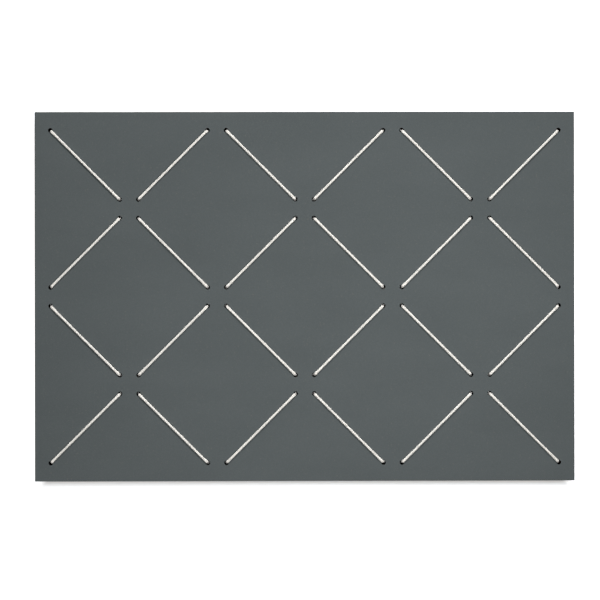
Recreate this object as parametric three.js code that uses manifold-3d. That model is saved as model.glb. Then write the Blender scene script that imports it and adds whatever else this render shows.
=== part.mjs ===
// A linoleum pin board for a wall. A sheet of cork linoleum is glued to a wood fibre core, and two
// elastic cords zigzag over its face, through drilled holes and on behind it, to hold cards and photos.
// Battens screwed to the back keep cords and knots off the wall, and two keyhole plates hang it.
// Millimetres, +Z up. The face looks along -Y. The origin is the middle of the top batten's wall side.
import * as THREE from "three";
import { mergeVertices } from "three/addons/utils/BufferGeometryUtils.js";
import Module from "manifold-3d";

// Board
const boardWidth = 950;
const boardHeight = 650;
const linoleumThickness = 6;
const coreThickness = 10;

// Lattice of cords: one straight span in each cell, between two points of a grid on the board
const cellsAcross = 6;
const cellsDown = 4;
const latticeSideMargin = 11.5;
const latticeTopMargin = 16;
const holeSetback = 23.2;
const holeDiameter = 7.5;
const faceHoleSides = 12;
const coreHoleSides = 8;

// Elastic cord
const cordDiameter = 4;
const cordClearance = 0.3;
const crestBendRadius = 10;
const crestHalfLength = 3;
const cordSides = 8;
const stepsInABend = 2;

// Overhand knot at each cord end, its shape in distances between two strands that touch
const knotStrandGap = 0.45;
const knotReach = 3.8;
const knotSteps = 21;
const knotHalfDepthShare = 0.58;
const knotLoopShares = [-1, 2.67, -0.28];
const knotSwingShares = [3.33, -1.23];
const knotAdvanceShares = [0.265, -0.49, -0.67];

// Battens behind the board
const battenWidth = 40;
const battenThickness = 12;
const battenScrewInset = 30;

// Keyhole plates let into the top batten
const plateInset = 100;
const plateLength = 44;
const plateThickness = 2;
const plateBorder = 6;
const plateCornerRadius = 4;
const plateClearance = 0.3;
const keyholeEntryDiameter = 9.5;
const keyholeSlotWidth = 5;
const keyholeRise = 8;
const wellDepth = 6;
const wellMargin = 1.5;

// Countersunk screws, and the clearance round them
const battenScrew = {
  shank: 3.5,
  head: 7,
  cone: 2,
  bite: 7,
  tip: 3,
  driveLength: 4,
  driveWidth: 1,
  driveDepth: 1,
};
const plateScrew = {
  shank: 3,
  head: 5.6,
  cone: 1.4,
  bite: 7,
  tip: 2.5,
  driveLength: 3.2,
  driveWidth: 0.8,
  driveDepth: 0.8,
};
const plateScrewInset = 6;
const screwClearance = 0.3;
const screwSides = 12;
const pilotSides = 8;

// Rubber wall pads
const padDiameter = 12;
const padThickness = 1.5;
const padChamfer = 0.4;
const padInset = 12;
const padSides = 20;

// How far a cutter runs past the face that it opens
const overrun = 1;

// Places that follow from the sizes above
const latticeWidth = boardWidth - 2 * latticeSideMargin;
const latticeHeight = boardHeight - 2 * latticeTopMargin;
const cellWidth = latticeWidth / cellsAcross;
const cellHeight = latticeHeight / cellsDown;
const battenX = (latticeWidth - cellWidth) / 2;
const battenZ = (latticeHeight - cellHeight) / 2;
const coreBackY = -battenThickness;
const linoleumBackY = coreBackY - coreThickness;
const faceY = linoleumBackY - linoleumThickness;
const levelBattenLength = 2 * battenX + battenWidth;
const uprightBattenLength = 2 * battenZ - battenWidth;
const cordRadius = cordDiameter / 2;
const cordFrontY = faceY - cordRadius - cordClearance;
const cordBackY = coreBackY + cordRadius + cordClearance;
const holeEdgeBendRadius = cordRadius + cordClearance;
const battenScrewLength = battenThickness + battenScrew.bite;
const plateScrewLength = plateThickness + plateScrew.bite;

const wasm = await Module();
wasm.setup();

const finishes = {
  linoleum: { color: "#5d6364", roughness: 0.85, metalness: 0 },
  fibreboard: { color: "#a5855d", roughness: 0.9, metalness: 0 },
  elastic: { color: "#f2eee9", roughness: 0.8, metalness: 0 },
  spruce: { color: "#d9bd8e", roughness: 0.7, metalness: 0 },
  zincPlate: { color: "#b9bcbf", roughness: 0.35, metalness: 1 },
  screwSteel: { color: "#c6c2b4", roughness: 0.35, metalness: 1 },
  rubber: { color: "#2c2c2b", roughness: 0.8, metalness: 0 },
};

function piece(name, geometry, finish) {
  const mesh = new THREE.Mesh(geometry, new THREE.MeshStandardMaterial(finish));
  mesh.name = name;
  return mesh;
}

function solidFrom(geometry) {
  const bare = geometry.clone();
  bare.deleteAttribute("normal");
  bare.deleteAttribute("uv");
  const merged = mergeVertices(bare);
  const triVerts = new Uint32Array(merged.index.array);
  const vertProperties = merged.attributes.position.array;
  return new wasm.Manifold(new wasm.Mesh({ numProp: 3, vertProperties, triVerts }));
}

function geometryFrom(solid) {
  const { vertProperties, triVerts } = solid.getMesh();
  const geometry = new THREE.BufferGeometry();
  geometry.setAttribute("position", new THREE.BufferAttribute(vertProperties, 3));
  geometry.setIndex(new THREE.BufferAttribute(triVerts, 1));
  geometry.computeVertexNormals();
  return geometry;
}

// A block given by its middle in X and Z, its two Y faces, its width and its height.
function block({ x, z, wallY, roomY, width, height }) {
  const geometry = new THREE.BoxGeometry(width, wallY - roomY, height);
  return geometry.translate(x, (wallY + roomY) / 2, z);
}

// A flat outline, drawn with Z up, given thickness from its wall side towards the room.
function slab(outline, wallY, thickness) {
  const geometry = new THREE.ExtrudeGeometry(outline, { depth: thickness, bevelEnabled: false });
  return geometry.rotateX(Math.PI / 2).translate(0, wallY, 0);
}

// A round body turned from a profile of [radius, depth] pairs, depth going from the wall to the room.
function turned(profile, sides, { x, y, z }) {
  const points = profile.map(([radius, depth]) => new THREE.Vector2(radius, -depth)).reverse();
  return new THREE.LatheGeometry(points, sides).translate(x, y, z);
}

// A regular polygon whose flats touch the drilled circle, so that nothing round inside it is pinched.
function drilledCircle({ x, z }, diameter, sides) {
  const corner = diameter / 2 / Math.cos(Math.PI / sides);
  const hole = new THREE.Path();
  for (let i = 0; i < sides; i++) {
    const turn = -((i + 0.5) * 2 * Math.PI) / sides;
    const at = [x + corner * Math.cos(turn), z + corner * Math.sin(turn)];
    if (i === 0) hole.moveTo(...at);
    else hole.lineTo(...at);
  }
  hole.closePath();
  return hole;
}

// Counts 0, 1 .. top .. 1, 0 .. as a ball does between two walls.
const bounce = (step, top) => top - Math.abs(top - (step % (2 * top)));

// A cord starts at an upper corner of the board and bounces over the grid to the corner below it.
function latticePoint(step, side) {
  const x = side * (bounce(step, cellsAcross) * cellWidth - latticeWidth / 2);
  const z = latticeHeight / 2 - bounce(step, cellsDown) * cellHeight - battenZ;
  return new THREE.Vector3(x, 0, z);
}

// The straight spans on the face, each with the centres of its two holes and its direction, and
// whether the cord crosses over a strand that was laced before it where the span ends.
const laced = [];

function spansOf(side) {
  const spans = [];
  for (let step = 0; step < 2 * cellsAcross; step++) {
    const from = latticePoint(step, side);
    const to = latticePoint(step + 1, side);
    const along = to.clone().sub(from).normalize();
    const crosses = laced.some((point) => point.distanceTo(to) < holeSetback);
    laced.push(to);
    spans.push({
      along,
      start: from.clone().addScaledVector(along, holeSetback),
      end: to.clone().addScaledVector(along, -holeSetback),
      crosses,
    });
  }
  return spans;
}

const cordSpans = { left: spansOf(1), right: spansOf(-1) };
const holes = [...cordSpans.left, ...cordSpans.right].flatMap(({ start, end }) => [start, end]);

function boardOutline(sides) {
  const top = boardHeight / 2 - battenZ;
  const bottom = top - boardHeight;
  const outline = new THREE.Shape();
  outline.moveTo(-boardWidth / 2, bottom);
  outline.lineTo(boardWidth / 2, bottom);
  outline.lineTo(boardWidth / 2, top);
  outline.lineTo(-boardWidth / 2, top);
  outline.closePath();
  outline.holes = holes.map((hole) => drilledCircle(hole, holeDiameter, sides));
  return outline;
}

function linoleumFace() {
  const geometry = slab(boardOutline(faceHoleSides), linoleumBackY, linoleumThickness);
  return piece("linoleum_face", geometry, finishes.linoleum);
}

// Screw places: two in each upright batten, four evenly spaced in each level one.
function battenScrewPlaces() {
  const levelReach = levelBattenLength / 2 - battenScrewInset;
  const uprightReach = uprightBattenLength / 2 - battenScrewInset;
  const level = {
    outer_left: -levelReach,
    inner_left: -levelReach / 3,
    inner_right: levelReach / 3,
    outer_right: levelReach,
  };
  const upright = { upper: uprightReach, lower: -uprightReach };
  const places = [];
  for (const [end, x] of Object.entries(level)) {
    places.push({ name: `batten_screw_top_${end}`, batten: "top", x, z: 0 });
    places.push({ name: `batten_screw_bottom_${end}`, batten: "bottom", x, z: -2 * battenZ });
  }
  for (const [end, z] of Object.entries(upright)) {
    places.push({ name: `batten_screw_left_${end}`, batten: "left", x: -battenX, z: z - battenZ });
    places.push({ name: `batten_screw_right_${end}`, batten: "right", x: battenX, z: z - battenZ });
  }
  return places;
}

// A countersunk screw's profile from its flat head to its point. The same profile, grown by the
// clearance and open at the head, cuts its hole.
function screwProfile({ shank, head, cone, tip }, length, grow) {
  return [
    [0, grow ? -overrun : 0],
    [head / 2 + grow, grow ? -overrun : 0],
    [head / 2 + grow, 0],
    [shank / 2 + grow, cone],
    [shank / 2 + grow, grow ? length + grow : length - tip],
    [0, length + grow],
  ].filter(([radius, depth], i, all) => i === 0 || radius !== all[i - 1][0] || depth !== all[i - 1][1]);
}

// A screw whose cross recess is cut into the head.
function screw(name, sizes, length, { x, y, z }) {
  const { driveLength, driveWidth, driveDepth } = sizes;
  let body = solidFrom(turned(screwProfile(sizes, length, 0), screwSides, { x, y, z }));
  for (const [width, height] of [[driveLength, driveWidth], [driveWidth, driveLength]]) {
    const slot = block({ x, z, wallY: y + overrun, roomY: y - driveDepth, width, height });
    body = body.subtract(solidFrom(slot));
  }
  return piece(name, geometryFrom(body), finishes.screwSteel);
}

function corePanel() {
  let body = solidFrom(slab(boardOutline(coreHoleSides), coreBackY, coreThickness));
  for (const { x, z } of battenScrewPlaces()) {
    const pilot = screwProfile(battenScrew, battenScrewLength, screwClearance);
    body = body.subtract(solidFrom(turned(pilot, pilotSides, { x, y: 0, z })));
  }
  return piece("core_panel", geometryFrom(body), finishes.fibreboard);
}

// The straight legs between corners, and a bend of the given radius at each corner, as stations: a
// place and the direction in which the cord runs there.
function bendStations(before, corner, after, radius) {
  const inward = corner.clone().sub(before).normalize();
  const outward = after.clone().sub(corner).normalize();
  const turn = inward.angleTo(outward);
  const side = outward.clone().addScaledVector(inward, -Math.cos(turn)).normalize();
  const start = corner.clone().addScaledVector(inward, -radius * Math.tan(turn / 2));
  const centre = start.clone().addScaledVector(side, radius);
  const stations = [];
  for (let step = 0; step <= stepsInABend; step++) {
    const turned = (turn * step) / stepsInABend;
    const ahead = inward.clone().multiplyScalar(Math.cos(turned)).addScaledVector(side, Math.sin(turned));
    const out = side.clone().multiplyScalar(Math.cos(turned)).addScaledVector(inward, -Math.sin(turned));
    stations.push({ place: centre.clone().addScaledVector(out, -radius), ahead });
  }
  return stations;
}

// The overhand knot in its own frame: it runs along Y, and its loops spread in X and Z.
function knotPlace(t) {
  const bell = Math.exp((-t * t) / 2);
  const [loop0, loop2, loop4] = knotLoopShares;
  const [swing1, swing3] = knotSwingShares;
  const [advance, pull1, pull3] = knotAdvanceShares;
  const across = (loop0 + loop2 * t ** 2 + loop4 * t ** 4) * bell;
  const up = (swing1 * t + swing3 * t ** 3) * bell;
  const ahead = advance * t + (pull1 * t + pull3 * t ** 3) * bell;
  return new THREE.Vector3(across, ahead, up).multiplyScalar(cordDiameter + knotStrandGap);
}

// Stations through a knot behind the board, from its loose tail to the hole it stops at.
function knotStations({ x, z }) {
  const depth = knotHalfDepthShare * (cordDiameter + knotStrandGap) + cordRadius + cordClearance;
  const middle = new THREE.Vector3(x, coreBackY + depth, z);
  const stations = [];
  for (let step = 0; step <= knotSteps; step++) {
    const t = knotReach * (1 - (2 * step) / knotSteps);
    const nudge = knotReach / knotSteps;
    const ahead = knotPlace(t - nudge).sub(knotPlace(t + nudge)).normalize();
    stations.push({ place: knotPlace(t).add(middle), ahead });
  }
  return stations;
}

// A curve that passes through stations, with the direction of each, and is straight between them.
class StationedCurve extends THREE.Curve {
  constructor(stations) {
    super();
    this.stations = stations;
  }

  getPoint(t, target = new THREE.Vector3()) {
    const at = t * (this.stations.length - 1);
    const i = Math.min(Math.floor(at), this.stations.length - 2);
    return target.lerpVectors(this.stations[i].place, this.stations[i + 1].place, at - i);
  }

  getPointAt(u, target) {
    return this.getPoint(u, target);
  }

  getTangentAt(u, target = new THREE.Vector3()) {
    return target.copy(this.stations[Math.round(u * (this.stations.length - 1))].ahead);
  }
}

// Where the cord's middle passes a hole: hard against its edge on the side towards which it is pulled.
function insideHole(hole, towards, y) {
  const slack = holeDiameter / 2 - cordRadius - cordClearance;
  return hole.clone().addScaledVector(towards, slack).setY(y);
}

// The corners that a cord turns behind the board, from one span's last hole to the next span's first.
// At an inner grid point two strands cross: the first to be laced lies on the core, and the other
// humps over it.
function rearCorners(span, next) {
  const across = next.start.clone().sub(span.end).normalize();
  const down = insideHole(span.end, across, cordBackY);
  const up = insideHole(next.start, across.clone().negate(), cordBackY);
  const leavesHole = { at: down, radius: holeEdgeBendRadius };
  const entersHole = { at: up, radius: holeEdgeBendRadius };
  if (!span.crosses) return [leavesHole, entersHole];
  const crest = down.clone().add(up).divideScalar(2).setY(cordBackY + cordDiameter + cordClearance);
  const climbs = crest.clone().addScaledVector(across, -crestHalfLength);
  const falls = crest.clone().addScaledVector(across, crestHalfLength);
  return [
    leavesHole,
    { at: climbs, radius: crestBendRadius },
    { at: falls, radius: crestBendRadius },
    entersHole,
  ];
}

function elasticCord(name, spans) {
  const first = spans[0];
  const last = spans[spans.length - 1];
  const firstHole = insideHole(first.start, first.along, 0);
  const lastHole = insideHole(last.end, last.along.clone().negate(), 0);
  const corners = [{ at: firstHole }];
  spans.forEach((span, i) => {
    const back = span.along.clone().negate();
    corners.push({ at: insideHole(span.start, span.along, cordFrontY), radius: holeEdgeBendRadius });
    corners.push({ at: insideHole(span.end, back, cordFrontY), radius: holeEdgeBendRadius });
    if (i < spans.length - 1) corners.push(...rearCorners(span, spans[i + 1]));
  });
  corners.push({ at: lastHole });

  const stations = knotStations(firstHole);
  for (let i = 1; i < corners.length - 1; i++) {
    const [before, here, after] = corners.slice(i - 1, i + 2);
    stations.push(...bendStations(before.at, here.at, after.at, here.radius));
  }
  const farKnot = knotStations(lastHole).reverse();
  farKnot.forEach(({ place, ahead }) => stations.push({ place, ahead: ahead.negate() }));

  const section = new THREE.Shape();
  for (let i = 0; i < cordSides; i++) {
    const turn = (2 * Math.PI * i) / cordSides;
    const at = [cordRadius * Math.cos(turn), cordRadius * Math.sin(turn)];
    if (i === 0) section.moveTo(...at);
    else section.lineTo(...at);
  }
  section.closePath();
  const geometry = new THREE.ExtrudeGeometry(section, {
    steps: stations.length - 1,
    bevelEnabled: false,
    extrudePath: new StationedCurve(stations),
  });
  return piece(name, geometry, finishes.elastic);
}

// The keyhole's middle in the plate lies halfway between the entry's bottom and the slot's top.
const keyholeHeight = keyholeEntryDiameter / 2 + keyholeRise + keyholeSlotWidth / 2;
const plateHeight = keyholeHeight + 2 * plateBorder;
const entryZ = (keyholeEntryDiameter - keyholeHeight) / 2;
const slotZ = entryZ + keyholeRise;
const plateX = levelBattenLength / 2 - plateInset;
const platePlaces = { left: -plateX, right: plateX };

function plateScrewPlaces(x) {
  const reach = plateLength / 2 - plateScrewInset;
  return { outer: x + Math.sign(x) * reach, inner: x - Math.sign(x) * reach };
}

function roundedPlate(x) {
  const halfLength = plateLength / 2 - plateCornerRadius;
  const halfHeight = plateHeight / 2 - plateCornerRadius;
  const outline = new THREE.Shape();
  outline.absarc(x + halfLength, halfHeight, plateCornerRadius, 0, Math.PI / 2);
  outline.absarc(x - halfLength, halfHeight, plateCornerRadius, Math.PI / 2, Math.PI);
  outline.absarc(x - halfLength, -halfHeight, plateCornerRadius, Math.PI, 1.5 * Math.PI);
  outline.absarc(x + halfLength, -halfHeight, plateCornerRadius, 1.5 * Math.PI, 2 * Math.PI);
  return outline;
}

// The round entry for a screw's head, and the narrow slot above it that the screw's shank slides up.
function keyhole(x) {
  const half = keyholeSlotWidth / 2;
  const entry = keyholeEntryDiameter / 2;
  const mouth = Math.asin(half / entry);
  const outline = new THREE.Path();
  outline.absarc(x, slotZ, half, 0, Math.PI);
  outline.absarc(x, entryZ, entry, Math.PI / 2 + mouth, 2.5 * Math.PI - mouth);
  outline.closePath();
  return outline;
}

function hangerPlate(side, x) {
  const outline = roundedPlate(x);
  outline.holes = [keyhole(x)];
  const flat = new THREE.ExtrudeGeometry(outline, {
    depth: plateThickness,
    bevelEnabled: false,
    curveSegments: 6,
  });
  let body = solidFrom(flat.rotateX(Math.PI / 2));
  for (const screwX of Object.values(plateScrewPlaces(x))) {
    const hole = screwProfile(plateScrew, plateScrewLength, screwClearance);
    body = body.subtract(solidFrom(turned(hole, screwSides, { x: screwX, y: 0, z: 0 })));
  }
  return piece(`hanger_plate_${side}`, geometryFrom(body), finishes.zincPlate);
}

// A batten with its screw holes. The top one also has a shallow seat for each keyhole plate, with a
// deeper well in it for the head of the screw that the board hangs on.
function batten(name, { x, z, width, height }) {
  let body = solidFrom(block({ x, z, wallY: 0, roomY: -battenThickness, width, height }));
  for (const place of battenScrewPlaces().filter((one) => one.batten === name)) {
    const hole = screwProfile(battenScrew, battenScrewLength, screwClearance);
    body = body.subtract(solidFrom(turned(hole, screwSides, { x: place.x, y: 0, z: place.z })));
  }
  if (name === "top") {
    for (const plateMiddle of Object.values(platePlaces)) {
      const seat = block({
        x: plateMiddle,
        z: 0,
        wallY: overrun,
        roomY: -plateThickness,
        width: plateLength + 2 * plateClearance,
        height: plateHeight + 2 * plateClearance,
      });
      const well = block({
        x: plateMiddle,
        z: 0,
        wallY: overrun,
        roomY: -plateThickness - wellDepth,
        width: keyholeEntryDiameter + 2 * wellMargin,
        height: keyholeHeight + 2 * wellMargin,
      });
      body = body.subtract(solidFrom(seat)).subtract(solidFrom(well));
      for (const screwX of Object.values(plateScrewPlaces(plateMiddle))) {
        const hole = screwProfile(plateScrew, plateScrewLength, screwClearance);
        body = body.subtract(solidFrom(turned(hole, pilotSides, { x: screwX, y: 0, z: 0 })));
      }
    }
  }
  return piece(`batten_${name}`, geometryFrom(body), finishes.spruce);
}

function wallPad(name, x, z) {
  const profile = [
    [0, -padThickness],
    [padDiameter / 2 - padChamfer, -padThickness],
    [padDiameter / 2, padChamfer - padThickness],
    [padDiameter / 2, 0],
    [0, 0],
  ];
  return piece(name, turned(profile, padSides, { x, y: 0, z }), finishes.rubber);
}

const pinBoard = new THREE.Group();
pinBoard.add(linoleumFace(), corePanel());
pinBoard.add(elasticCord("elastic_cord_left", cordSpans.left));
pinBoard.add(elasticCord("elastic_cord_right", cordSpans.right));

const level = { x: 0, width: levelBattenLength, height: battenWidth };
const upright = { z: -battenZ, width: battenWidth, height: uprightBattenLength };
pinBoard.add(batten("top", { ...level, z: 0 }), batten("bottom", { ...level, z: -2 * battenZ }));
pinBoard.add(batten("left", { ...upright, x: -battenX }), batten("right", { ...upright, x: battenX }));
for (const { name, x, z } of battenScrewPlaces()) {
  pinBoard.add(screw(name, battenScrew, battenScrewLength, { x, y: 0, z }));
}

for (const [side, x] of Object.entries(platePlaces)) {
  pinBoard.add(hangerPlate(side, x));
  for (const [end, screwX] of Object.entries(plateScrewPlaces(x))) {
    const place = { x: screwX, y: 0, z: 0 };
    pinBoard.add(screw(`hanger_screw_${side}_${end}`, plateScrew, plateScrewLength, place));
  }
}

const padX = levelBattenLength / 2 - padInset;
for (const [row, z] of [["top", 0], ["bottom", -2 * battenZ]]) {
  pinBoard.add(wallPad(`wall_pad_${row}_left`, -padX, z));
  pinBoard.add(wallPad(`wall_pad_${row}_right`, padX, z));
}

export default pinBoard;
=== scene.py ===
"""A linoleum pin board on a wall, with two elastic cords laced over its face and battens behind it.

Metres, +Z up. The face looks along -Y, and the origin is the middle of the top batten's wall side.
"""

import math
from collections import namedtuple

import bpy
import numpy as np
from mathutils import Matrix, Vector


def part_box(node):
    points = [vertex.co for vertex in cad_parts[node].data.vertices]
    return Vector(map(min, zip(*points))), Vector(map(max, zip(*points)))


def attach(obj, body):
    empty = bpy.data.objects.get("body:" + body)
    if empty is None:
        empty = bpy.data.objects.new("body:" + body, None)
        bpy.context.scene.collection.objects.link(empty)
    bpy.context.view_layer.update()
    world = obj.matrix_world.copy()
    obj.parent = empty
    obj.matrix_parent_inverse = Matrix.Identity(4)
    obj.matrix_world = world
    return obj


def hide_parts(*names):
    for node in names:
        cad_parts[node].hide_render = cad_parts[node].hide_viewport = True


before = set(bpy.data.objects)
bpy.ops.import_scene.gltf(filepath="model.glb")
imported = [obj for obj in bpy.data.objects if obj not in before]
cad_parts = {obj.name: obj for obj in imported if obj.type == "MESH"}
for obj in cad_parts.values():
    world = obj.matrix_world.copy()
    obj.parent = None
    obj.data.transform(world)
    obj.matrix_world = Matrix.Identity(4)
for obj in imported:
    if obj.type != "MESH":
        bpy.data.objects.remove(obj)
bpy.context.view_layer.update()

MM = 0.001

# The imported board, which every finer piece is set against
SHEET_LOW, SHEET_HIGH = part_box("linoleum_face")
CORE_LOW, CORE_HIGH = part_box("core_panel")
FACE_Y = SHEET_LOW.y
SEAM_Y = SHEET_HIGH.y
BACK_Y = CORE_HIGH.y
WALL_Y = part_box("wall_pad_top_left")[1].y
MIDDLE = (SHEET_LOW + SHEET_HIGH) / 2
BOARD_WIDTH = SHEET_HIGH.x - SHEET_LOW.x
BOARD_HEIGHT = SHEET_HIGH.z - SHEET_LOW.z

# Lattice of cords
CELLS_ACROSS = 6
CELLS_DOWN = 4
LATTICE_SIDE_MARGIN = 11.5 * MM
LATTICE_TOP_MARGIN = 16 * MM
LATTICE_WIDTH = BOARD_WIDTH - 2 * LATTICE_SIDE_MARGIN
LATTICE_HEIGHT = BOARD_HEIGHT - 2 * LATTICE_TOP_MARGIN
CELL_WIDTH = LATTICE_WIDTH / CELLS_ACROSS
CELL_HEIGHT = LATTICE_HEIGHT / CELLS_DOWN

# Holes, each set back along the cord from the lattice's crossing
HOLE_SETBACK = 23.2 * MM
HOLE_RADIUS = 3.75 * MM
HOLE_SIDES = 28

# Sheet and core
EDGE_ROUNDING = 0.3 * MM
JUTE_THICKNESS = 0.8 * MM

# Shaping: how far cutters reach past a surface, the turn from which an edge is sharp, and how much of
# its normal a flat face has along Y
OVERCUT = 1 * MM
SHARP_EDGE = math.radians(50)
FLAT_ENOUGH = 0.98

# Turns up to which faces are shaded as one. In sheet and core that is just over the turn between two
# sides of a hole, so that the holes look round and their rims stay crisp.
PIECE_SMOOTHING = math.radians(30)
HOLED_SMOOTHING = math.radians(14)
CORD_SMOOTHING = math.radians(60)

# Elastic cord: rubber in a sheath of sixteen strands, eight wound each way
CORD_RADIUS = 2.05 * MM
CORD_GAP = 0.05 * MM
SHEATH_SIDES = 16
CROSSINGS_ROUND = 8
BRAID_PERIOD = 2.4 * MM
RINGS_A_PERIOD = 4
BRAID_RELIEF = 0.05 * MM
RIM_BEND_RADIUS = CORD_RADIUS + EDGE_ROUNDING
CREST_RADIUS = 10 * MM
CREST_HALF_LENGTH = 3 * MM
BEND_STEPS = 12

# The tension presses the cord flat over a rim by a share of its thickness. That starts at a share of
# the rim's own bend, is full once two rings of the tube bend so, and fades over this length, which is
# followed for a number of rings each way.
PRESSED_SHARE = 0.22
PRESSED_FROM = 0.75
RINGS_TO_PRESS = 2
PRESSED_FADE = 9 * MM
FADE_RINGS = 60

# Melted tips: how far each closing ring lies past the end, its share of the thickness, and the share
# of a period by which the braid goes on from ring to ring
CORD_TIP = [(0.4 * MM, 0.98), (0.8 * MM, 0.88), (1.1 * MM, 0.66), (1.25 * MM, 0.36)]
TIP_BRAID_STEP = 0.1

# Overhand knot. Its pitch is the distance between two neighbouring strands, and its reach is how far
# the parameter of its formula runs both ways.
KNOT_STRAND_GAP = 0.3 * MM
KNOT_PITCH = 2 * CORD_RADIUS + KNOT_STRAND_GAP
KNOT_REACH = 3.8
KNOT_STEPS = 160
KNOT_HALF_DEPTH = 0.58 * KNOT_PITCH

# Battens
BATTEN_EDGE = 1.2 * MM

# Keyhole plates and their wells, whose corners are rounded by a share of half their width
ENTRY_RADIUS = 4.75 * MM
SLOT_RADIUS = 2.5 * MM
ENTRY_Z = -2.875 * MM
SLOT_Z = 5.125 * MM
ENTRY_SIDES = 50
SLOT_SIDES = 26
PLATE_CORNER = 4 * MM
PLATE_EDGE = 0.2 * MM
PLATE_CLEARANCE = 0.3 * MM
WELL_DEPTH = 6 * MM
WELL_MARGIN = 1.5 * MM
WELL_ROUNDING = 0.98
CORNER_SEGMENTS = 8
KEYHOLE_RIM = 0.25 * MM

# Screws, in mm: radii and lengths of shank and head, then the length, width and depth of the cross
# recess, which narrows inwards to a share. A rim's places are (how far inside the head's radius, y).
BATTEN_SCREW = {"shank": 1.75, "head": 3.5, "cone": 2, "length": 19, "recess": (4, 1, 1)}
PLATE_SCREW = {"shank": 1.5, "head": 2.8, "cone": 1.4, "length": 9, "recess": (3.2, 0.8, 0.8)}
SCREW_RIM = [(0.25, 0), (0.05, -0.08), (0, -0.25)]
SCREW_POINT_LENGTH = 3
SCREW_POINT_RADIUS = 0.2
SCREW_CLEARANCE = 0.3
RECESS_TAPER = 0.6
ROUND_SIDES = 32

# A place in the room that no two points of a round piece are equally far from
SORTING_POINT = (0.731, -0.437, 0.213)

# Rubber pads: a small chamfer at the foot, a rounded edge, a flat rim and a dished middle
PAD_SIDES = 48
PAD_FOOT_WIDTH = 0.1 * MM
PAD_FOOT_HEIGHT = 0.15 * MM
PAD_ROUNDING = 0.5 * MM
PAD_ROUNDING_TURNS = [math.radians(turn) for turn in (0, 22, 45, 67, 90)]
PAD_RIM = 2 * MM
PAD_DISH_EDGE = 0.6 * MM
PAD_DISH_DEPTH = 0.2 * MM
PAD_MIDDLE_DEPTH = 0.25 * MM
PAD_MIDDLE = 0.5 * MM

# The view: how the board lies in the picture, from where and how level the camera looks
CAMERA_DISTANCE = 3.0
CAMERA_YAW = math.radians(0.4)
CAMERA_ROLL = math.radians(0.085)
CAMERA_LENS = 102.26
CAMERA_SENSOR = 36
CAMERA_NEAREST = 10 * MM
AIM = MIDDLE + Vector((-8.5, -3, -6.3)) * MM

# Light, in shares of what makes a white surface facing it render white. Each lamp has its level,
# its distance and direction from the board, and its size. The two at the sides stand behind the
# face's plane, so that they reach the edges and battens alone.
AMBIENT_LEVEL = 0.11
LAMPS = {
    "top": (0.675, 2.9, (0.06, -0.63, 0.78), (0.9, 0.5)),
    "right": (0.325, 0.94, (0.46, -1, -0.12), (0.4, 0.4)),
    "left": (0.21, 1.04, (-0.34, -1, -0.41), (0.4, 0.4)),
    "back": (0.65, 2.4, (-0.3, 0.8, 0.52), (1.6, 0.8)),
    "left_side": (0.55, 2.4, (-1, 0.3, 0.15), (0.8, 0.8)),
    "right_side": (0.55, 2.4, (1, 0.3, 0.15), (0.8, 0.8)),
}

# Stage: its size, how strongly it glows to the camera where it is in shade and where it is clear, and
# how far inside the board's edges and behind its core the unlit sheet lies
FLOOR_Z = -1.3
FLOOR_SIZE = (40, 40)
WALL_WIDTH = 8
WALL_HEIGHT = 4
SHADED_GLOW = 0.22
CLEAR_GLOW = 1
FLOOR_GLOW = 0.9
UNLIT_MARGIN = 20 * MM
UNLIT_GAP = 0.1 * MM

# Where the strip of painted shadow on the wall under the board starts to clear and is clear again:
# inwards from the board's side edges, down from its bottom edge, and up behind it
STRIP_ENDS = (18 * MM, 1 * MM)
STRIP_BELOW = (3.5 * MM, 19 * MM)
STRIP_ABOVE = (0, 20 * MM)


def linear(hex_colour):
    """An sRGB hex colour as the linear values that the shaders take."""
    shares = [int(hex_colour[i : i + 2], 16) / 255 for i in (1, 3, 5)]
    return tuple(c / 12.92 if c <= 0.04045 else ((c + 0.055) / 1.055) ** 2.4 for c in shares) + (1,)


# Camera


def set_camera():
    """Almost square on, a touch to the left, as the board was photographed."""
    lens = bpy.data.cameras.new("photo_view")
    lens.lens = CAMERA_LENS
    lens.sensor_width = CAMERA_SENSOR
    lens.clip_start = CAMERA_NEAREST
    camera = bpy.data.objects.new("photo_view", lens)
    bpy.context.scene.collection.objects.link(camera)
    back = Vector((-math.sin(CAMERA_YAW), -math.cos(CAMERA_YAW), 0))
    turn = Matrix.Rotation(-CAMERA_YAW, 4, "Z") @ Matrix.Rotation(math.pi / 2, 4, "X")
    roll = Matrix.Rotation(-CAMERA_ROLL, 4, "Z")
    camera.matrix_world = Matrix.Translation(AIM + back * CAMERA_DISTANCE) @ turn @ roll
    bpy.context.scene.camera = camera


# Materials


def fill(tree, node, inputs):
    """Gives a node's inputs a value, a hex colour, a socket, or the first live output of a node."""
    for name, value in inputs.items():
        live = [socket for socket in node.inputs if socket.enabled and socket.name == name]
        socket = node.inputs[name] if isinstance(name, int) else live[0]
        if isinstance(value, bpy.types.Node):
            value = next(output for output in value.outputs if output.enabled)
        if isinstance(value, bpy.types.NodeSocket):
            tree.links.new(value, socket)
        else:
            socket.default_value = linear(value) if isinstance(value, str) else value


def add(tree, kind, inputs, **settings):
    """Adds a node with its settings and links. Stops are a colour ramp's places and hex colours."""
    made = tree.nodes.new(kind)
    stops = settings.pop("stops", [])
    for name, value in settings.items():
        setattr(made, name, value)
    for place, _ in stops[1:-1]:
        made.color_ramp.elements.new(place)
    for i, (place, colour) in enumerate(stops):
        made.color_ramp.elements[i].position = place
        made.color_ramp.elements[i].color = linear(colour)
    fill(tree, made, inputs)
    return made


def material(name):
    """A new material: itself, its tree, its shader and its object coordinates."""
    made = bpy.data.materials.new(name)
    made.use_nodes = True
    tree = made.node_tree
    place = add(tree, "ShaderNodeTexCoord", {}).outputs["Object"]
    return made, tree, tree.nodes["Principled BSDF"], place


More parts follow.
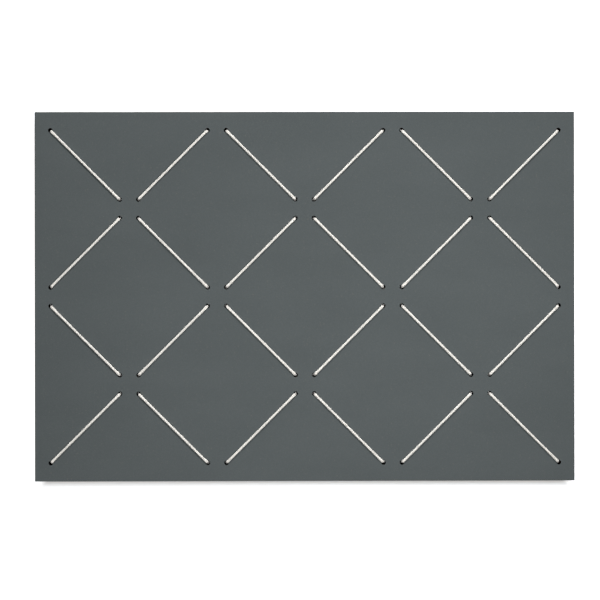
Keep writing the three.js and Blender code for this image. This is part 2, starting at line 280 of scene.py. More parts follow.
def calendered_linoleum():
    # Cork and wood flour rolled smooth in linseed oil: matte, one slate grey, with faint long clouds
    # along the rolling and a cork grit that only a close look shows.
    made, tree, shader, place = material("calendered_linoleum")
    along = add(tree, "ShaderNodeMapping", {"Vector": place, "Scale": (0.4, 1, 1)})
    clouds = add(tree, "ShaderNodeTexNoise", {"Vector": along, "Scale": 1 / (70 * MM), "Detail": 3})
    grit = {"Vector": place, "Scale": 1 / (1.3 * MM), "Detail": 3, "Roughness": 0.65}
    grit = add(tree, "ShaderNodeTexNoise", grit)
    specks = add(tree, "ShaderNodeTexNoise", {"Vector": place, "Scale": 1 / (3.2 * MM), "Detail": 1})
    cork = {"Value": specks, "From Min": 0.68, "From Max": 0.74, "To Max": 0.35}
    cork = add(tree, "ShaderNodeMapRange", cork)
    cloudy = [(0.3, "#545a5b"), (0.5, "#575d5e"), (0.7, "#5a6061")]
    cloudy = add(tree, "ShaderNodeValToRGB", {"Fac": clouds}, stops=cloudy)
    gritty = [(0.34, "#4d5354"), (0.5, "#575d5e"), (0.66, "#626868")]
    gritty = add(tree, "ShaderNodeValToRGB", {"Fac": grit}, stops=gritty)
    slate = add(tree, "ShaderNodeMix", {"Factor": 0.4, "A": cloudy, "B": gritty}, data_type="RGBA")
    colour = add(tree, "ShaderNodeMix", {"Factor": cork, "A": slate, "B": "#6f6f69"}, data_type="RGBA")
    rough = {"Value": grit, "From Min": 0.3, "From Max": 0.7, "To Min": 0.74, "To Max": 0.88}
    rough = add(tree, "ShaderNodeMapRange", rough)
    bump = add(tree, "ShaderNodeBump", {"Height": grit, "Distance": 0.05 * MM})
    varies = {"Base Color": colour, "Roughness": rough, "Normal": bump}
    fill(tree, shader, varies | {"Specular IOR Level": 0.2})
    return made


def jute_backing():
    # The woven jute that linoleum is rolled onto: a thin brown line of cut threads at the edge.
    made, tree, shader, place = material("jute_backing")
    threads = add(tree, "ShaderNodeTexNoise", {"Vector": place, "Scale": 1 / (1.2 * MM), "Detail": 2})
    colour = [(0.3, "#5f4c30"), (0.5, "#84693f"), (0.7, "#a58b60")]
    colour = add(tree, "ShaderNodeValToRGB", {"Fac": threads}, stops=colour)
    bump = add(tree, "ShaderNodeBump", {"Height": threads, "Distance": 0.3 * MM})
    varies = {"Base Color": colour, "Normal": bump}
    fill(tree, shader, varies | {"Roughness": 0.95, "Specular IOR Level": 0.2})
    return made


def bore_painted_shade():
    # Cork and wood fibre torn by the drill, rough and dull. Near black: painted shade of the deep
    # holes.
    made, tree, shader, place = material("bore_painted_shade")
    torn = add(tree, "ShaderNodeTexNoise", {"Vector": place, "Scale": 1 / (0.8 * MM), "Detail": 3})
    colour = [(0.3, "#080605"), (0.7, "#16110d")]
    colour = add(tree, "ShaderNodeValToRGB", {"Fac": torn}, stops=colour)
    bump = add(tree, "ShaderNodeBump", {"Height": torn, "Distance": 0.2 * MM})
    varies = {"Base Color": colour, "Normal": bump}
    fill(tree, shader, varies | {"Roughness": 1, "Specular IOR Level": 0})
    return made


def pressed_fibreboard():
    # Medium density fibreboard: even brown wood fibre, sanded, with fine dark and pale flecks. Its
    # sawn edges show looser, darker fibre than its faces.
    made, tree, shader, place = material("pressed_fibreboard")
    fibre = {"Vector": place, "Scale": 1 / (0.9 * MM), "Detail": 3, "Roughness": 0.7}
    fibre = add(tree, "ShaderNodeTexNoise", fibre)
    flecks = {"Vector": place, "Scale": 1 / (3 * MM), "Detail": 4, "Roughness": 0.7}
    flecks = add(tree, "ShaderNodeTexNoise", flecks)
    clouds = add(tree, "ShaderNodeTexNoise", {"Vector": place, "Scale": 1 / (120 * MM)})
    flecked = [(0.3, "#997a52"), (0.5, "#a5855d"), (0.72, "#b3946c")]
    flecked = add(tree, "ShaderNodeValToRGB", {"Fac": flecks}, stops=flecked)
    fine = [(0.3, "#8a6a45"), (0.5, "#a5855d"), (0.7, "#bfa27a")]
    fine = add(tree, "ShaderNodeValToRGB", {"Fac": fibre}, stops=fine)
    cloudy = [(0.35, "#9c7d56"), (0.65, "#ad8e66")]
    cloudy = add(tree, "ShaderNodeValToRGB", {"Fac": clouds}, stops=cloudy)
    colour = add(tree, "ShaderNodeMix", {"Factor": 0.4, "A": flecked, "B": fine}, data_type="RGBA")
    colour = add(tree, "ShaderNodeMix", {"Factor": 0.35, "A": colour, "B": cloudy}, data_type="RGBA")
    facing = add(tree, "ShaderNodeNewGeometry", {}).outputs["Normal"]
    facing = add(tree, "ShaderNodeSeparateXYZ", {0: facing}).outputs["Y"]
    flat = add(tree, "ShaderNodeMath", {0: facing}, operation="ABSOLUTE")
    sawn = {"Value": flat, "From Min": 0.9, "From Max": 0.5, "To Max": 0.55}
    sawn = add(tree, "ShaderNodeMapRange", sawn)
    colour = add(tree, "ShaderNodeMix", {"Factor": sawn, "A": colour, "B": "#7d5f3d"}, data_type="RGBA")
    rough = {"Value": fibre, "From Min": 0.3, "From Max": 0.7, "To Min": 0.82, "To Max": 0.95}
    rough = add(tree, "ShaderNodeMapRange", rough)
    bump = add(tree, "ShaderNodeBump", {"Height": fibre, "Distance": 0.08 * MM})
    varies = {"Base Color": colour, "Roughness": rough, "Normal": bump}
    fill(tree, shader, varies | {"Specular IOR Level": 0.25})
    return made


def braided_elastic():
    # Polyester strands braided over rubber: soft off-white with a bright sheen, painted shade in the
    # groove round each crossing, and fine filaments along each strand. The braid follows the cord by
    # its own map.
    made, tree, shader, _ = material("braided_elastic")
    where = add(tree, "ShaderNodeSeparateXYZ", {0: add(tree, "ShaderNodeUVMap", {}, uv_map="braid")})
    around = {0: where.outputs["X"], 1: CROSSINGS_ROUND}
    around = add(tree, "ShaderNodeMath", around, operation="MULTIPLY")
    rounds, counts, filaments = [], [], []
    for winding in ("ADD", "SUBTRACT"):
        strand = {0: around, 1: where.outputs["Y"]}
        strand = add(tree, "ShaderNodeMath", strand, operation=winding)
        counts.append(add(tree, "ShaderNodeMath", {0: strand}, operation="ROUND"))
        for found, threads in ((rounds, 0.5), (filaments, 4)):
            turns = {0: strand, 1: 2 * math.pi * threads}
            turns = add(tree, "ShaderNodeMath", turns, operation="MULTIPLY")
            wave = add(tree, "ShaderNodeMath", {0: turns}, operation="COSINE")
            found.append(add(tree, "ShaderNodeMath", {0: wave}, operation="ABSOLUTE"))
    count = add(tree, "ShaderNodeMath", {0: counts[0], 1: counts[1]}, operation="ADD")
    on_top = add(tree, "ShaderNodeMath", {0: count, 1: 1}, operation="PINGPONG")
    tops = [
        add(tree, "ShaderNodeMix", {"Factor": on_top, "A": pair[first], "B": pair[1 - first]})
        for pair, first in ((rounds, 0), (rounds, 1), (filaments, 0))
    ]
    ridge = add(tree, "ShaderNodeMath", {0: tops[0], 1: 0.7, 2: 0}, operation="MULTIPLY_ADD")
    ridge = add(tree, "ShaderNodeMath", {0: tops[1], 1: 0.3, 2: ridge}, operation="MULTIPLY_ADD")
    height = add(tree, "ShaderNodeMath", {0: tops[2], 1: 0.1, 2: ridge}, operation="MULTIPLY_ADD")
    # Darker where the braid is low: painted shade in its grooves
    colour = [(0.1, "#d2c8bb"), (0.36, "#f7f1e8"), (0.62, "#fffcf5")]
    colour = add(tree, "ShaderNodeValToRGB", {"Fac": ridge}, stops=colour)
    bump = add(tree, "ShaderNodeBump", {"Height": height, "Distance": 0.12 * MM})
    feel = {"Roughness": 0.6, "Specular IOR Level": 0.6, "Sheen Weight": 0.8, "Sheen Roughness": 0.5}
    fill(tree, shader, {"Base Color": colour, "Normal": bump} | feel)
    return made


def planed_spruce(name, along):
    # Planed spruce battens: straight yellow grain along the batten, with narrow orange late wood
    # between wide pale early wood, and fine pores.
    made, tree, shader, place = material(name)
    grain_stretch, year_width, sway_width = 28, 3.4 * MM, 26 * MM
    drawn_out = [1 / grain_stretch if axis == along else 1 for axis in "XYZ"]
    drawn = add(tree, "ShaderNodeMapping", {"Vector": place, "Scale": drawn_out})
    sway = add(tree, "ShaderNodeTexNoise", {"Vector": drawn, "Scale": 1 / (66 * MM), "Detail": 2})
    pores = add(tree, "ShaderNodeTexNoise", {"Vector": drawn, "Scale": 1 / (1 * MM), "Detail": 2})
    streaks = add(tree, "ShaderNodeTexNoise", {"Vector": drawn, "Scale": 1 / (10 * MM), "Detail": 3})
    where = add(tree, "ShaderNodeSeparateXYZ", {0: place})
    across = where.outputs["Z" if along == "X" else "X"]
    tilted = {0: where.outputs["Y"], 1: 0.5, 2: across}
    tilted = add(tree, "ShaderNodeMath", tilted, operation="MULTIPLY_ADD")
    rings = add(tree, "ShaderNodeMath", {0: sway, 1: sway_width, 2: tilted}, operation="MULTIPLY_ADD")
    years = add(tree, "ShaderNodeMath", {0: rings, 1: year_width}, operation="DIVIDE")
    year = add(tree, "ShaderNodeMath", {0: years}, operation="FRACT")
    wood = [(0.0, "#e6cfa4"), (0.62, "#dfc394"), (0.9, "#c99f66"), (1.0, "#dcbd8b")]
    wood = add(tree, "ShaderNodeValToRGB", {"Fac": year}, stops=wood)
    tone = [(0.3, "#d3b27d"), (0.5, "#dcc094"), (0.7, "#e8d3ad")]
    tone = add(tree, "ShaderNodeValToRGB", {"Fac": streaks}, stops=tone)
    colour = add(tree, "ShaderNodeMix", {"Factor": 0.45, "A": wood, "B": tone}, data_type="RGBA")
    pore = {"Value": pores, "From Min": 0.62, "From Max": 0.72, "To Max": 0.35}
    pore = add(tree, "ShaderNodeMapRange", pore)
    colour = add(tree, "ShaderNodeMix", {"Factor": pore, "A": colour, "B": "#b98f58"}, data_type="RGBA")
    rough = add(tree, "ShaderNodeMapRange", {"Value": year, "To Min": 0.68, "To Max": 0.58})
    bump = add(tree, "ShaderNodeBump", {"Height": year, "Distance": 0.03 * MM})
    bump = add(tree, "ShaderNodeBump", {"Height": pores, "Distance": 0.04 * MM, "Normal": bump})
    varies = {"Base Color": colour, "Roughness": rough, "Normal": bump}
    fill(tree, shader, varies | {"Specular IOR Level": 0.35})
    return made


def zinc_plated_sheet():
    # Bright zinc on pressed steel sheet: bluish silver, slightly clouded, with fine rolling lines.
    made, tree, shader, place = material("zinc_plated_sheet")
    rolled = add(tree, "ShaderNodeMapping", {"Vector": place, "Scale": (0.025, 1, 1)})
    lines = add(tree, "ShaderNodeTexNoise", {"Vector": rolled, "Scale": 1 / (0.25 * MM), "Detail": 1})
    clouds = add(tree, "ShaderNodeTexNoise", {"Vector": place, "Scale": 1 / (6 * MM), "Detail": 3})
    colour = [(0.35, "#aeb2b6"), (0.65, "#c3c6c8")]
    colour = add(tree, "ShaderNodeValToRGB", {"Fac": clouds}, stops=colour)
    dull = {"Value": clouds, "From Min": 0.3, "From Max": 0.7, "To Min": 0.26, "To Max": 0.36}
    dull = add(tree, "ShaderNodeMapRange", dull)
    rough = add(tree, "ShaderNodeMath", {0: lines, 1: 0.12, 2: dull}, operation="MULTIPLY_ADD")
    bump = add(tree, "ShaderNodeBump", {"Height": lines, "Distance": 0.01 * MM})
    fill(tree, shader, {"Base Color": colour, "Roughness": rough, "Normal": bump, "Metallic": 1})
    return made


def yellow_passivated_steel():
    # Zinc plated screws with a thin yellow passivation, a little uneven from one spot to the next.
    made, tree, shader, place = material("yellow_passivated_steel")
    film = add(tree, "ShaderNodeTexNoise", {"Vector": place, "Scale": 1 / (1.8 * MM), "Detail": 2})
    colour = [(0.3, "#b9ac86"), (0.5, "#c9c3ad"), (0.7, "#c8bd95")]
    colour = add(tree, "ShaderNodeValToRGB", {"Fac": film}, stops=colour)
    rough = {"Value": film, "From Min": 0.3, "From Max": 0.7, "To Min": 0.24, "To Max": 0.38}
    rough = add(tree, "ShaderNodeMapRange", rough)
    fill(tree, shader, {"Base Color": colour, "Roughness": rough, "Metallic": 1})
    return made


def moulded_rubber():
    # Moulded rubber pads: near black, dull, with a fine spark-eroded skin.
    made, tree, shader, place = material("moulded_rubber")
    skin = add(tree, "ShaderNodeTexNoise", {"Vector": place, "Scale": 1 / (0.5 * MM), "Detail": 2})
    colour = [(0.3, "#262625"), (0.7, "#323230")]
    colour = add(tree, "ShaderNodeValToRGB", {"Fac": skin}, stops=colour)
    rough = {"Value": skin, "From Min": 0.3, "From Max": 0.7, "To Min": 0.68, "To Max": 0.82}
    rough = add(tree, "ShaderNodeMapRange", rough)
    bump = add(tree, "ShaderNodeBump", {"Height": skin, "Distance": 0.05 * MM})
    varies = {"Base Color": colour, "Roughness": rough, "Normal": bump}
    fill(tree, shader, varies | {"Specular IOR Level": 0.4})
    return made


# Shaping


def settled(name):
    """Names the new object and moves its place into its mesh, so that the object is at the origin."""
    made = bpy.context.object
    made.name = made.data.name = name
    bpy.ops.object.transform_apply(location=True, rotation=True, scale=True)
    return made


def block(name, low, high):
    """A cube drawn out between two corners."""
    low, high = Vector(low), Vector(high)
    bpy.ops.object.select_all(action="DESELECT")
    bpy.ops.mesh.primitive_cube_add(size=1, location=(low + high) / 2, scale=high - low)
    return settled(name)


def picked(piece, kind, wanted):
    """Goes on to edit a piece with the points, edges or faces selected that wanted(each) picks."""
    bpy.ops.object.select_all(action="DESELECT")
    bpy.context.view_layer.objects.active = piece
    piece.select_set(True)
    bpy.ops.object.mode_set(mode="EDIT")
    bpy.ops.mesh.select_mode(type=kind)
    bpy.ops.mesh.select_all(action="DESELECT")
    bpy.ops.object.mode_set(mode="OBJECT")
    mesh = piece.data
    for part in {"VERT": mesh.vertices, "EDGE": mesh.edges, "FACE": mesh.polygons}[kind]:
        part.select = wanted(part)
    bpy.ops.object.mode_set(mode="EDIT")


def round_corners(piece, radius, segments=6):
    """Rounds the four edges of a block that run from the room to the wall."""
    points = piece.data.vertices

    def runs_to_the_wall(edge):
        one, other = (points[i].co.y for i in edge.vertices)
        return abs(one - other) > piece.dimensions.y / 2

    picked(piece, "EDGE", runs_to_the_wall)
    bpy.ops.mesh.bevel(offset=radius, segments=segments, affect="EDGES")
    bpy.ops.object.mode_set(mode="OBJECT")


def applied(piece, kind, **settings):
    """Puts a modifier on a piece and applies it."""
    bpy.ops.object.select_all(action="DESELECT")
    bpy.context.view_layer.objects.active = piece
    piece.select_set(True)
    modifier = piece.modifiers.new("step", kind)
    for name, value in settings.items():
        setattr(modifier, name, value)
    bpy.ops.object.modifier_apply(modifier=modifier.name)


def ease_edges(piece, width, segments=3):
    """Rounds every sharp edge."""
    limit = {"limit_method": "ANGLE", "angle_limit": SHARP_EDGE}
    applied(piece, "BEVEL", width=width, segments=segments, **limit)


def cut(piece, *cutters):
    """Cuts each cutter out of a piece, and clears the cutter away."""
    for cutter in cutters:
        applied(piece, "BOOLEAN", operation="DIFFERENCE", solver="EXACT", object=cutter)
        bpy.data.objects.remove(cutter)


def turned(name, profile, x, z, sides=ROUND_SIDES):
    """A round piece about a Y axis: a disc drawn out ring by ring through (radius, y) places."""
    radius, y = profile[0]
    bpy.ops.object.select_all(action="DESELECT")
    bpy.ops.mesh.primitive_circle_add(
        vertices=sides,
        radius=radius,
        fill_type="NGON",
        location=(x, y, z),
        rotation=(math.pi / 2, 0, 0),
    )
    made = settled(name)
    bpy.ops.object.mode_set(mode="EDIT")
    bpy.ops.mesh.select_all(action="SELECT")
    for (wide, here), (next_wide, there) in zip(profile, profile[1:]):
        grow = next_wide / wide
        bpy.ops.mesh.extrude_region_move(TRANSFORM_OT_translate={"value": (0, there - here, 0)})
        bpy.ops.transform.resize(value=(grow, 1, grow), center_override=(x, there, z))
    bpy.ops.mesh.select_all(action="SELECT")
    bpy.ops.mesh.normals_make_consistent(inside=False)
    # Extruding leaves points and faces in an order that changes from run to run
    bpy.context.scene.cursor.location = SORTING_POINT
    bpy.ops.mesh.sort_elements(type="CURSOR_DISTANCE", elements={"VERT", "EDGE", "FACE"})
    bpy.ops.object.mode_set(mode="OBJECT")
    return made


def copied(piece, name, by):
    """A copy of a piece with its own mesh, moved there in its mesh."""
    made = piece.copy()
    made.data = piece.data.copy()
    made.name = made.data.name = name
    made.data.transform(Matrix.Translation(by))
    bpy.context.scene.collection.objects.link(made)
    return made


def finished(piece, nodes, slot, *materials, smooth=PIECE_SMOOTHING):
    """Dresses a piece, lets it stand for its CAD nodes and move with the board."""
    piece.data.materials.clear()
    for surface in materials:
        piece.data.materials.append(surface)
    bpy.ops.object.select_all(action="DESELECT")
    bpy.context.view_layer.objects.active = piece
    piece.select_set(True)
    bpy.ops.object.shade_smooth_by_angle(angle=smooth)
    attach(piece, "root")
    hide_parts(*nodes)


# Elastic cords

# A straight span on the face: both holes, its direction, and whether the cord crosses over a strand
# that was laced before it where the span ends
Span = namedtuple("Span", "start end along crosses")


def bounce(step, top):
    """Counts 0, 1 .. top .. 1, 0 .. as a ball does between two walls."""
    return top - abs(top - step % (2 * top))


def lattice_point(step, side):
    """Where a cord that starts at an upper corner has bounced to over the grid."""
    x = side * (bounce(step, CELLS_ACROSS) * CELL_WIDTH - LATTICE_WIDTH / 2)
    z = MIDDLE.z + LATTICE_HEIGHT / 2 - bounce(step, CELLS_DOWN) * CELL_HEIGHT
    return Vector((x, 0, z))


def spans_of(side, laced):
    """One cord's spans, in order. The lattice points that it passes are added to the laced ones."""
    spans = []
    for step in range(2 * CELLS_ACROSS):
        start, end = lattice_point(step, side), lattice_point(step + 1, side)
        along = (end - start).normalized()
        crosses = any((point - end).length < HOLE_SETBACK for point in laced)
        laced.append(end)
        setback = along * HOLE_SETBACK
        spans.append(Span(start + setback, end - setback, along, crosses))
    return spans


def inside_hole(hole, towards, y):
    """Where the cord's middle passes a hole: against its edge on the side it is pulled to."""
    place = hole + towards * (HOLE_RADIUS - CORD_RADIUS - CORD_GAP)
    return Vector((place.x, y, place.z))


def rear_corners(span, following):
    """The corners behind the board from one span's last hole to the next span's first, each with the
    radius of its bend. Where strands cross, there is a crest between them."""
    across = (following.start - span.end).normalized()
    back = BACK_Y + CORD_RADIUS + CORD_GAP
    down = inside_hole(span.end, across, back)
    up = inside_hole(following.start, -across, back)
    corners = [(down, RIM_BEND_RADIUS), (up, RIM_BEND_RADIUS)]
    if span.crosses:
        crest = (down + up) / 2 + Vector((0, 2 * CORD_RADIUS + CORD_GAP, 0))
        corners.insert(1, (crest - across * CREST_HALF_LENGTH, CREST_RADIUS))
        corners.insert(2, (crest + across * CREST_HALF_LENGTH, CREST_RADIUS))
    return corners


def bend(before, corner, after, radius):
    """Points of the round bend that a cord makes at a corner."""
    inward = (corner - before).normalized()
    outward = (after - corner).normalized()
    turn = inward.angle(outward)
    side = (outward - inward * math.cos(turn)).normalized()
    start = corner - inward * radius * math.tan(turn / 2)
    turns = [turn * step / BEND_STEPS for step in range(BEND_STEPS + 1)]
    return [start + (side * (1 - math.cos(t)) + inward * math.sin(t)) * radius for t in turns]


def knot_place(t):
    """The overhand knot in its own frame: it runs along Y, and its loops spread in X and Z."""
    bell = math.exp(-t * t / 2)
    across = (-1 + 2.67 * t**2 - 0.28 * t**4) * bell
    up = (3.33 * t - 1.23 * t**3) * bell
    ahead = 0.265 * t + (-0.49 * t - 0.67 * t**3) * bell
    return Vector((across, ahead, up)) * KNOT_PITCH


def knot(hole):
    """A knot behind the board, from its loose tail to the hole that it can't pass."""
    middle = Vector((hole.x, BACK_Y + KNOT_HALF_DEPTH + CORD_RADIUS + CORD_GAP, hole.z))
    turns = [KNOT_REACH * (1 - 2 * step / KNOT_STEPS) for step in range(KNOT_STEPS + 1)]
    return [middle + knot_place(t) for t in turns]


def cord_route(spans):
    """Points along a whole cord, from knot to knot."""
    front = FACE_Y - CORD_RADIUS - CORD_GAP
    first = inside_hole(spans[0].start, spans[0].along, 0)
    last = inside_hole(spans[-1].end, -spans[-1].along, 0)
    corners = [(first, 0)]
    for span, following in zip(spans, spans[1:] + [None]):
        corners.append((inside_hole(span.start, span.along, front), RIM_BEND_RADIUS))
        corners.append((inside_hole(span.end, -span.along, front), RIM_BEND_RADIUS))
        if following:
            corners += rear_corners(span, following)
    corners.append((last, 0))
    route = knot(first)
    for (before, _), (here, radius), (after, _) in zip(corners, corners[1:], corners[2:]):
        route += bend(before, here, after, radius)
    return route + knot(last)[::-1]


def unit(rows):
    """Each row as a unit vector, or as nothing where it has next to no length."""
    next_to_none = 1e-12
    return rows / np.maximum(np.linalg.norm(rows, axis=1, keepdims=True), next_to_none)


def evenly_spaced(route):
    """A route as the middles of the tube's rings, and how far along it each of them lies."""
    line = np.array(route)
    lengths = np.append(0, np.cumsum(np.linalg.norm(np.diff(line, axis=0), axis=1)))
    count = round(lengths[-1] / (BRAID_PERIOD / RINGS_A_PERIOD))
    at = np.linspace(0, lengths[-1], count + 1)
    return np.stack([np.interp(at, lengths, line[:, axis]) for axis in range(3)], axis=1), at


def pressed_flat(ahead, at):
    """Which way the rims press each ring, and by what share of its thickness: fully where the cord
    bends over a rim, and less and less over a few diameters on both sides."""
    curl = np.gradient(ahead, at, axis=0) * RIM_BEND_RADIUS
    sharp = (np.linalg.norm(curl, axis=1, keepdims=True) - PRESSED_FROM) / (1 - PRESSED_FROM)
    press = unit(curl) * np.clip(sharp, 0, 1)
    rings_away = np.abs(np.arange(-FADE_RINGS, FADE_RINGS + 1))
    fade = np.exp(-rings_away * (at[1] - at[0]) / PRESSED_FADE)
    faded = [np.convolve(along, fade, "same") for along in press.T]
    press = np.stack(faded, axis=1) / RINGS_TO_PRESS
    press -= ahead * (press * ahead).sum(axis=1, keepdims=True)
    share = np.minimum(np.linalg.norm(press, axis=1, keepdims=True), 1) * PRESSED_SHARE
    return unit(press), share


def untwisted_sides(ahead):
    """Two directions across the cord at each ring, carried along it without a twist."""
    off_the_cord = (0.3, 0.2, 0.9)
    across = [np.cross(ahead[0], off_the_cord)]
    for direction in ahead[1:]:
        across.append(across[-1] - direction * across[-1].dot(direction))
        across[-1] /= np.linalg.norm(across[-1])
    across = unit(np.array(across))
    return across, np.cross(ahead, across)


def sheath_rings(middles, at):
    """The points of each ring of the sheath, and how many periods of the braid lie before it."""
    ahead = unit(np.gradient(middles, axis=0))
    towards, tight = pressed_flat(ahead, at)
    across, up = untwisted_sides(ahead)
    last = len(middles) - 1
    marks = list(np.arange(last + 1) / RINGS_A_PERIOD)

    turn = 2 * np.pi * np.arange(SHEATH_SIDES) / SHEATH_SIDES
    wave = np.cos(2 * np.pi * np.arange(last + 1) / RINGS_A_PERIOD)
    radius = CORD_RADIUS + BRAID_RELIEF * wave[:, None] * np.cos(CROSSINGS_ROUND * turn)[None, :]
    out = across[:, None] * np.cos(turn)[None, :, None] + up[:, None] * np.sin(turn)[None, :, None]
    out = out * radius[:, :, None]
    inward = (out * towards[:, None]).sum(axis=2, keepdims=True)
    out = out * (1 + tight[:, None]) - towards[:, None] * inward * 2 * tight[:, None]
    pressed_middles = middles + towards * tight * CORD_RADIUS
    rings = list(pressed_middles[:, None] + out)

    # Tips: rings that close in past each end
    for end, way in ((0, -1), (last, 1)):
        for past, share in CORD_TIP:
            ring = middles[end] + ahead[end] * way * past + out[end] * share
            mark = marks[0 if way < 0 else -1] + way * TIP_BRAID_STEP
            rings.insert(0 if way < 0 else len(rings), ring)
            marks.insert(0 if way < 0 else len(marks), mark)
    return rings, marks


def map_braid(mesh, marks):
    """Lays the map that the braid follows on a tube: its turn, and its periods along the cord."""
    low = np.array(marks[:-1])[:, None].repeat(SHEATH_SIDES, 1)
    high = np.array(marks[1:])[:, None].repeat(SHEATH_SIDES, 1)
    left = (np.arange(SHEATH_SIDES) / SHEATH_SIDES)[None, :].repeat(len(marks) - 1, 0)
    right = left + 1 / SHEATH_SIDES
    around = np.stack([left, right, right, left], 2).reshape(-1)
    along = np.stack([low, low, high, high], 2).reshape(-1)
    places = np.zeros((len(mesh.loops), 2))
    places[: len(around)] = np.stack([around, along], 1)
    mesh.uv_layers.new(name="braid").data.foreach_set("uv", places.reshape(-1))


def braided_tube(name, route):
    """A cord with its braid standing out, pressed flat over the rims, with melted ends."""
    rings, marks = sheath_rings(*evenly_spaced(route))
    sides = np.arange(SHEATH_SIDES)
    beside = (sides + 1) % SHEATH_SIDES
    row = SHEATH_SIDES * np.arange(len(rings) - 1)[:, None]
    next_row = row + SHEATH_SIDES
    faces = np.stack([row + sides, row + beside, next_row + beside, next_row + sides], 2)
    caps = [sides[::-1].tolist(), (SHEATH_SIDES * (len(rings) - 1) + sides).tolist()]
    mesh = bpy.data.meshes.new(name)
    mesh.from_pydata(np.concatenate(rings).tolist(), [], faces.reshape(-1, 4).tolist() + caps)
    map_braid(mesh, marks)
    made = bpy.data.objects.new(name, mesh)
    bpy.context.scene.collection.objects.link(made)
    return made


# Board


def drilled(piece, places, front_y, back_y):
    """Drills straight holes through a piece."""
    bpy.ops.object.select_all(action="DESELECT")
    bits = []
    for place in places:
        bpy.ops.mesh.primitive_cylinder_add(
            vertices=HOLE_SIDES,
            radius=HOLE_RADIUS,
            depth=back_y - front_y + 2 * OVERCUT,
            location=(place.x, (front_y + back_y) / 2, place.z),
            rotation=(math.pi / 2, 0, 0),
        )
        bits.append(bpy.context.object)
    for bit in bits:
        bit.select_set(True)
    bpy.ops.object.join()
    cut(piece, settled("drill"))


def in_a_bore(face):
    """A wall or rim of a drilled hole: it isn't flat on the board, and lies well inside its edges."""
    beside = BOARD_WIDTH / 2 - abs(face.center.x)
    above = BOARD_HEIGHT / 2 - abs(face.center.z - MIDDLE.z)
    return abs(face.normal.y) < FLAT_ENOUGH and min(beside, above) > HOLE_RADIUS


def linoleum_sheet(holes, linoleum, jute, bore):
    """The pin surface: a thick sheet with eased edges and rims, on its jute."""
    sheet = block("linoleum_sheet", SHEET_LOW, SHEET_HIGH)
    drilled(sheet, holes, FACE_Y, SEAM_Y)
    ease_edges(sheet, EDGE_ROUNDING)
    jute_y = SEAM_Y - JUTE_THICKNESS
    picked(sheet, "FACE", lambda face: True)
    bpy.ops.mesh.bisect(plane_co=(0, jute_y, 0), plane_no=(0, 1, 0))
    bpy.ops.object.mode_set(mode="OBJECT")
    finished(sheet, ["linoleum_face"], "linoleum", linoleum, jute, bore, smooth=HOLED_SMOOTHING)
    # Hole walls and rims take the bore material, painted shade; the rest is linoleum, with jute behind
    for face in sheet.data.polygons:
        face.material_index = 2 if in_a_bore(face) else int(face.center.y > jute_y)


def fibre_core(holes, fibreboard, bore):
    """The stiff board that the linoleum is glued to."""
    core = block("fibre_core", CORE_LOW, CORE_HIGH)
    drilled(core, holes, SEAM_Y, BACK_Y)
    ease_edges(core, EDGE_ROUNDING)
    finished(core, ["core_panel"], "fibreboard", fibreboard, bore, smooth=HOLED_SMOOTHING)
    # Hole walls and rims take the bore material, painted shade
    for face in core.data.polygons:
        face.material_index = int(in_a_bore(face))


# Battens, screws, keyhole plates and pads


def middle_of(node):
    """The middle of a node, level with the wall side of the battens, where Y is 0."""
    low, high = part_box(node)
    return Vector(((low.x + high.x) / 2, 0, (low.z + high.z) / 2))


def countersink(screw, place):
    """The cutter for a screw's hole, its cone drawn out past the surface."""
    head, shank = (screw[part] + SCREW_CLEARANCE for part in ("head", "shank"))
    past = OVERCUT / MM
    flare = (head - shank) / screw["cone"] * past
    profile = [(head + flare, past), (shank, -screw["cone"]), (shank, -screw["length"])]
    return turned("countersink", [(r * MM, y * MM) for r, y in profile], place.x, place.z)


def cross_headed_screw(name, screw):
    """A countersunk screw at the origin, flush with the wall side, its cross recess tapering in."""
    profile = [(screw["head"] - inside, y) for inside, y in SCREW_RIM]
    profile += [
        (screw["shank"], -screw["cone"]),
        (screw["shank"], SCREW_POINT_LENGTH - screw["length"]),
        (SCREW_POINT_RADIUS, -screw["length"]),
    ]
    made = turned(name, [(r * MM, y * MM) for r, y in profile], 0, 0)
    length, width, depth = (size * MM for size in screw["recess"])
    taper = (RECESS_TAPER, 1, RECESS_TAPER)
    for half in (Vector((length, 2 * depth, width)) / 2, Vector((width, 2 * depth, length)) / 2):
        bit = block("driver", -half, half)
        picked(bit, "FACE", lambda face: face.normal.y < -FLAT_ENOUGH)
        bpy.ops.transform.resize(value=taper, center_override=(0, -depth, 0))
        bpy.ops.object.mode_set(mode="OBJECT")
        cut(made, bit)
    return made


def driven_screws(screw, nodes, steel):
    """One screw, modelled once and copied to the place of each node."""
    pattern = cross_headed_screw("screw_pattern", screw)
    for node in nodes:
        one = copied(pattern, f"fine_{node}", middle_of(node))
        finished(one, [node], "screw_steel", steel)
    bpy.data.objects.remove(pattern)


def plate_seat(plate):
    """A cutter for the pocket that a plate lies in, as deep as the plate is thick."""
    low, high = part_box(plate)
    around = Vector((PLATE_CLEARANCE, 0, PLATE_CLEARANCE))
    low, high = low - around, high + around
    made = block("seat", low, (high.x, OVERCUT, high.z))
    round_corners(made, PLATE_CORNER + PLATE_CLEARANCE)
    return made


def keyhole_well(plate):
    """A cutter for the room that the wall screw's head has behind a plate's keyhole."""
    x = middle_of(plate).x
    wide = ENTRY_RADIUS + WELL_MARGIN
    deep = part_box(plate)[0].y - WELL_DEPTH
    bottom = ENTRY_Z - ENTRY_RADIUS - WELL_MARGIN
    top = SLOT_Z + SLOT_RADIUS + WELL_MARGIN
    made = block("well", (x - wide, deep, bottom), (x + wide, OVERCUT, top))
    round_corners(made, wide * WELL_ROUNDING, segments=CORNER_SEGMENTS)
    return made


